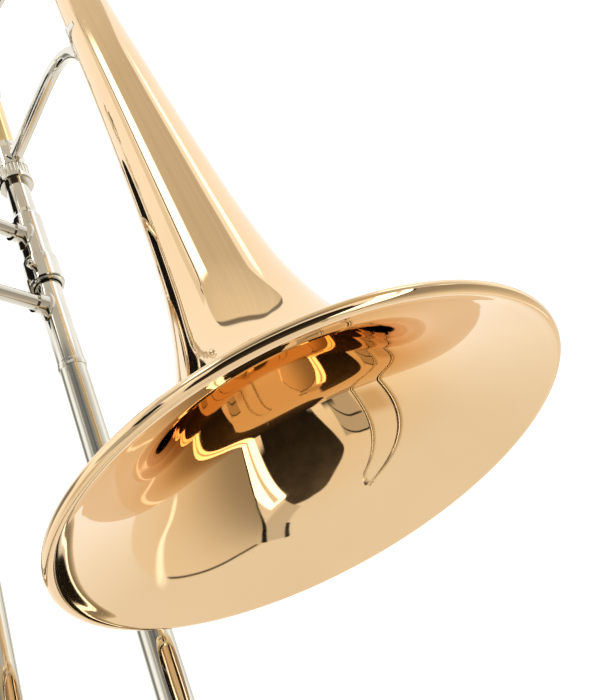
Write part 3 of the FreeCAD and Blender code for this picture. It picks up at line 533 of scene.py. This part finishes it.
# dark frame lines
col = mixc(tube_line(ph, [(-60, 22.0), (-48, 22.5), (-38, 23.5), (-29, 26.0), (-22, 30.0), (-16, 36.0)], 0.55), col, BLK)
col = mixc(patch(ph, W.curve(th, [(34, -17.5), (40, -12.8), (50, -8.2), (60, -5.6), (95, -3.4)]),
                 W.curve(th, [(34, -15.8), (40, -11.2), (50, -6.6), (60, -4.2), (95, -2.0)]), 34.0, 96.0, 0.5), col, BLK)
col = mixc(tube_line(ph, [(-94, 49.0), (-88, 42.0), (-80, 35.0), (-70, 29.0), (-60, 24.0)], 0.25), col, (0.10, 0.09, 0.08))
col = mixc(tube_line(ph, [(-60, 15.8), (-45, 15.2), (-28, 15.4)], 0.4), col, (0.03, 0.028, 0.026))
col = mixc(tube_line(ph, [(106, 55.0), (113, 47.0), (122, 44.5), (134, 45.0)], 0.45), col, (0.05, 0.045, 0.04))
col = mixc(tube_line(ph, [(107, 70.0), (113, 61.0), (121, 57.0), (134, 57.0)], 0.5), col, (0.05, 0.045, 0.04))
# behind: a panel between two strip lights
pan = patch(ph, W.curve(th, [(128, -4), (148, -4), (151, -34), (160, -20), (168, 0)]),
            W.curve(th, [(128, 78), (147, 80), (150, 104), (158, 113), (162, 112), (168, 90)]), 100.0,
            W.curve(ph, [(-35, 152), (-20, 161), (0, 167), (30, 168.5), (60, 168), (95, 165), (113, 160)]), 2.5)
pv = W.curve(th, [(100, 0.52), (138, 0.56), (146, 0.58), (151, 0.66), (158, 0.74), (166, 0.80)])
pw = W.new("ShaderNodeTexNoise", W.new("ShaderNodeCombineXYZ", W.math("MULTIPLY", ph, 0.13), W.math("MULTIPLY", th, 0.012), 0.0).outputs[0], None, 1.0, 3.0, 0.6)
pv = W.math("MULTIPLY", pv, W.math("ADD", W.math("MULTIPLY", pw.outputs[0], 0.34), 0.83))
pv_c = W.new("ShaderNodeCombineColor", W.math("MULTIPLY", pv, 1.13), W.math("MULTIPLY", pv, 1.04), W.math("MULTIPLY", pv, 0.88))
col = mixc(pan, col, pv_c.outputs[0])
frame_line = tube_line(ph, [(-35, 152), (-20, 161), (0, 167), (30, 168.5), (60, 168), (95, 165), (113, 160)], 0.9, 1.4)
col = mixc(W.math("MULTIPLY", frame_line, 0.85), col, (0.10, 0.09, 0.075))
col = mixc(patch(ph, W.curve(th, [(128, 84), (135, 80), (147, 80)]), W.curve(th, [(128, 92), (135, 97), (149, 98)]), 96.0, 149.5, 2.5, 2.0), col, (3.3, 3.3, 3.2))
col = mixc(patch(ph, W.curve(th, [(128, -21), (140, -22), (147, -21)]), W.curve(th, [(128, -13), (140, -13), (147, -17)]), 96.0, 147.0, 4.0, 3.0), col, (2.4, 2.4, 2.35))
col = mixc(patch(ph, 106.0, 117.0, 100.0, 152.0, 1.5), col, (0.90, 0.87, 0.80))
col = mixc(patch(ph, W.curve(th, [(128, 107), (134, 107), (142, 99.5), (150, 107)]), W.curve(th, [(128, 109), (134, 109), (142, 101.8), (150, 109)]), 96.0, 151.0, 0.8), col, (0.02, 0.018, 0.015))

far = W.mul(W.ramp(W.math("SUBTRACT", ph2, 128.0), 0.0, 16.0), W.ramp(W.math("SUBTRACT", 176.0, ph2), 0.0, 22.0),
            W.ramp(W.math("SUBTRACT", th, 50.0), 0.0, 8.0), W.ramp(W.math("SUBTRACT", 74.0, th), 0.0, 8.0))
col = mixc(far, col, (0.72, 0.60, 0.44))
tl = W.curve(ph, [(-180, 0.80), (-170, 1.10), (-155, 1.30), (-130, 1.10), (-115, 1.00), (-100, 0.87), (-90, 0.83), (-80, 0.88),
                  (-70, 1.00), (-55, 1.20), (-40, 1.02), (-30, 0.83), (-20, 0.78), (-8, 0.57), (10, 0.50), (25, 0.40),
                  (35, 0.30), (45, 0.27), (52, 0.13), (58, 0.20), (65, 0.24), (75, 0.21), (82, 0.30), (92, 0.43), (102, 0.52),
                  (108, 0.70), (115, 1.00), (125, 1.25), (143, 1.20), (149, 0.50), (156, 0.26), (165, 0.25), (172, 0.45), (180, 0.80)])
warm = W.mul(W.ramp(ph, -2.0, 12.0), W.ramp(W.math("SUBTRACT", 38.0, ph), 0.0, 14.0))
tl_c = W.new("ShaderNodeCombineColor", W.math("MULTIPLY", tl, W.math("ADD", 1.0, W.math("MULTIPLY", warm, 0.3))), tl,
             W.math("MULTIPLY", tl, W.math("SUBTRACT", 0.96, W.math("MULTIPLY", warm, 0.4))))
col = mixc(W.mul(W.ramp(th, 97.0, 100.0), W.ramp(W.math("SUBTRACT", 129.0, th), 0.0, 2.5)), col, tl_c.outputs[0])

bg = wt.nodes.new("ShaderNodeBackground")
wt.links.new(col, bg.inputs["Color"])
white = wt.nodes.new("ShaderNodeBackground")
white.inputs["Color"].default_value = (1.0, 1.0, 1.0, 1)
white.inputs["Strength"].default_value = 1.05
lp = wt.nodes.new("ShaderNodeLightPath")
msh = wt.nodes.new("ShaderNodeMixShader")
wo = wt.nodes.new("ShaderNodeOutputWorld")
wt.links.new(lp.outputs["Is Camera Ray"], msh.inputs[0])
wt.links.new(bg.outputs[0], msh.inputs[1])
wt.links.new(white.outputs[0], msh.inputs[2])
wt.links.new(msh.outputs[0], wo.inputs["Surface"])
scene.view_settings.view_transform = "Standard"
world.cycles.sampling_method = "NONE"
